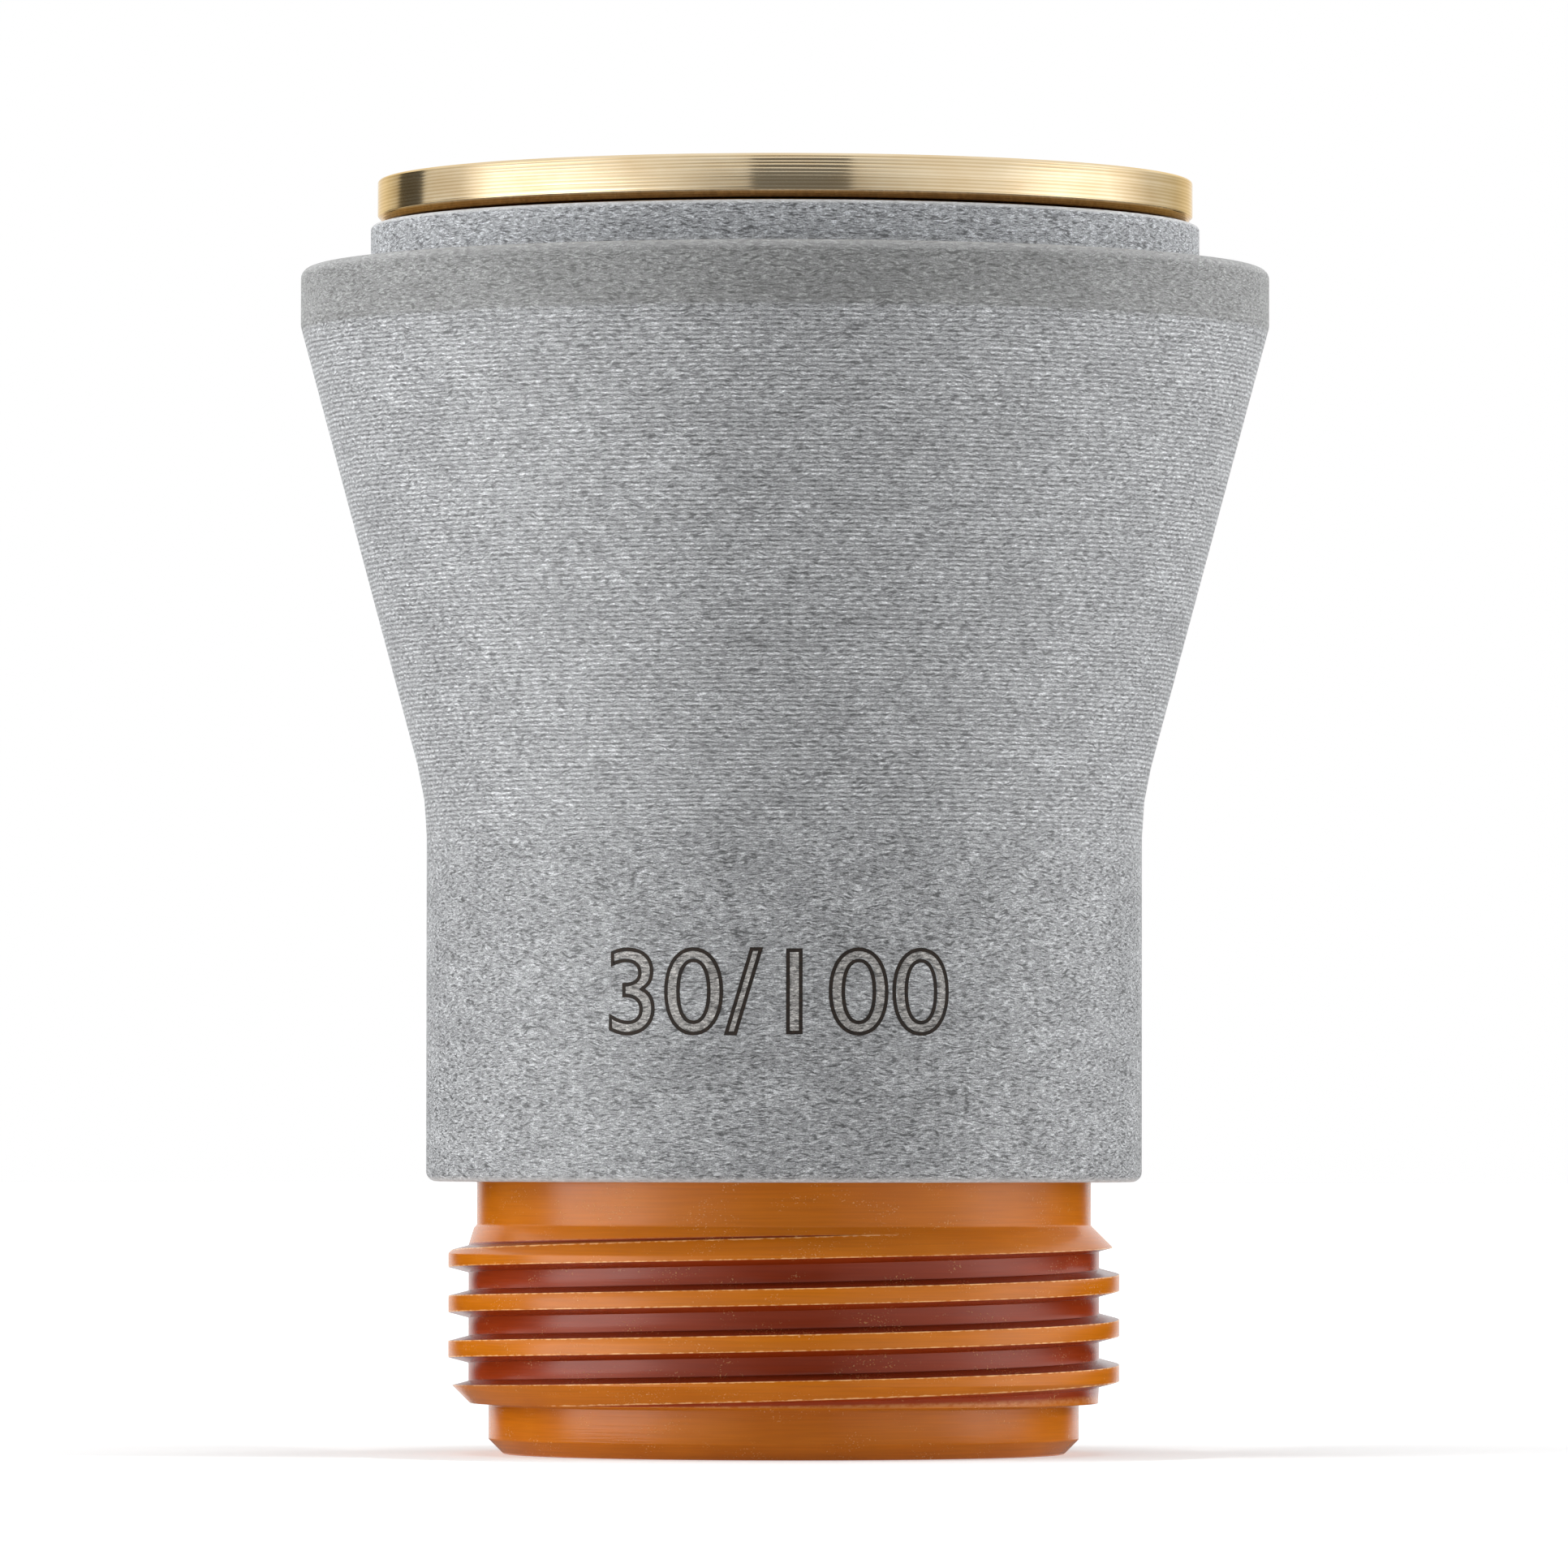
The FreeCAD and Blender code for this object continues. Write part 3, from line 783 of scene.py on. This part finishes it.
def screen_looks(name, brightness):
    """Screen that glows, evenly or with a brightness that changes round the axis, whatever light falls
    on it. Near the tip the angles close up, so that the tip reflects the same as the neck above it."""
    looks = Looks(name)
    looks.give(base_color=(0, 0, 0, 1), specular_ior_level=0.0)
    looks.material.cycles.emission_sampling = "NONE"
    if not isinstance(brightness, list):
        looks.give(emission_color=(1, 1, 1, 1), emission_strength=brightness)
        return looks.material
    tip = TIP_R * MM / 2
    spread = looks.sum("DIVIDE", looks.r, looks.sum("SUBTRACT", looks.r, tip))
    spread = looks.sum("MULTIPLY", spread, 1 - tip / SCREEN_R)
    azimuth = looks.sum("ARCTAN2", looks.x, looks.sum("MULTIPLY", looks.y, -1.0))
    azimuth = looks.sum("MULTIPLY", azimuth, spread)
    places = [(degrees / 360 + 0.5, level / BRIGHTEST) for degrees, level in brightness]
    glow = looks.ramp(looks.sum("MULTIPLY_ADD", azimuth, 1 / math.tau, 0.5), *places)
    looks.give(emission_color=glow, emission_strength=BRIGHTEST)
    return looks.material


def flat_mesh(name, corners):
    """Mesh of one flat face."""
    mesh = bpy.data.meshes.new(name)
    mesh.from_pydata(corners, [], [tuple(range(len(corners)))])
    return mesh


def make_floor():
    """Flat floor that the cap stands on."""
    half = FLOOR_HALF
    floor = bpy.data.objects.new("floor", flat_mesh("floor", [
        (-half, -half, 0), (half, -half, 0), (half, half, 0), (-half, half, 0),
    ]))
    floor.data.materials.append(floor_looks())
    bpy.context.scene.collection.objects.link(floor)


def round_about(azimuth, distance, height=0.0):
    """Point at an angle to the right of the front, in degrees, and so many metres from the axis."""
    angle = math.radians(azimuth)
    return Vector((math.sin(angle) * distance, -math.cos(angle) * distance, height))


def make_screens():
    """Rings that only reflections show: on the floor and upright, round the cap."""
    for name, section, brightness in SCREENS:
        turns = [360 * column / SCREEN_COLUMNS for column in range(SCREEN_COLUMNS)]
        points = [round_about(turn, *corner) for corner in section for turn in turns]
        faces = []
        for low in range(0, len(points) - SCREEN_COLUMNS, SCREEN_COLUMNS):
            for column in range(SCREEN_COLUMNS):
                after = (column + 1) % SCREEN_COLUMNS
                high = low + SCREEN_COLUMNS
                faces.append((low + column, low + after, high + after, high + column))
        mesh = bpy.data.meshes.new(name)
        mesh.from_pydata(points, [], faces)
        mesh.materials.append(screen_looks(name, brightness))
        screen = bpy.data.objects.new(name, mesh)
        bpy.context.scene.collection.objects.link(screen)
        screen.visible_camera = False
        screen.visible_diffuse = False
        screen.visible_shadow = False
        screen.visible_transmission = False


def make_lamps():
    """Soft boxes to the left and right of the cap, weaker ones behind it, and one overhead. Only the
    screens are seen in reflections, so the lamps are not."""
    for name, azimuth, distance, height, size, power in LAMPS:
        data = bpy.data.lights.new(name, "AREA")
        data.shape = "RECTANGLE"
        data.size, data.size_y = size
        data.energy = power
        lamp = bpy.data.objects.new(name, data)
        lamp.location = round_about(azimuth, distance, height)
        aim = Vector((0, 0, 0.02)) - lamp.location
        lamp.rotation_euler = aim.to_track_quat("-Z", "Y").to_euler()
        lamp.visible_camera = False
        lamp.visible_glossy = False
        bpy.context.scene.collection.objects.link(lamp)


def make_world():
    """White backdrop in sight and in reflections, and a soft even light on the cap."""
    world = bpy.data.worlds.new("studio")
    world.use_nodes = True
    tree = world.node_tree
    path = tree.nodes.new("ShaderNodeLightPath").outputs
    reflected = tree.nodes.new("ShaderNodeMath")
    reflected.operation = "MAXIMUM"
    shown = tree.nodes.new("ShaderNodeMath")
    shown.operation = "MAXIMUM"
    tree.links.new(path["Is Glossy Ray"], reflected.inputs[0])
    tree.links.new(path["Is Transmission Ray"], reflected.inputs[1])
    tree.links.new(path["Is Camera Ray"], shown.inputs[0])
    tree.links.new(reflected.outputs[0], shown.inputs[1])
    strength = tree.nodes.new("ShaderNodeMapRange")
    strength.inputs["To Min"].default_value = SKY
    strength.inputs["To Max"].default_value = 1.0
    tree.links.new(shown.outputs[0], strength.inputs["Value"])
    back = tree.nodes["Background"]
    back.inputs["Color"].default_value = (1, 1, 1, 1)
    tree.links.new(strength.outputs["Result"], back.inputs["Strength"])
    bpy.context.scene.world = world


def make_camera():
    """The photograph's camera: level with the cap's foot, tipped up a little, with a long lens."""
    data = bpy.data.cameras.new("camera")
    data.lens = LENS_IN_WIDTHS * data.sensor_width
    data.clip_start = 0.01
    data.clip_end = 20
    camera = bpy.data.objects.new("camera", data)
    camera.location = (0, -CAMERA_DISTANCE * MM, CAMERA_HEIGHT * MM)
    camera.rotation_euler = (math.radians(90 + CAMERA_PITCH), math.radians(CAMERA_ROLL), 0)
    bpy.context.scene.collection.objects.link(camera)
    bpy.context.scene.camera = camera


def main():
    """Set up the studio, and build the pieces in the frame."""
    bpy.context.scene.view_settings.view_transform = "Standard"
    make_world()
    make_lamps()
    make_floor()
    make_screens()
    make_camera()
    composite = composite_looks("grey_composite")
    add_piece("composite_shell", shell_mesh(), composite, "outer_shell")
    add_piece("brass_liner", liner_mesh(), brass_looks(), "threaded_liner")
    add_piece("insulator_ring", insulator_mesh(), polymer_looks(),
              "shield_thread_insulator")
    add_piece("rating_lines", rating_lines(), marking_looks())
    add_piece("rating_fill", rating_fill(), composite_looks("hazed_composite", (0.98, 0.93, 0.87)))


main()
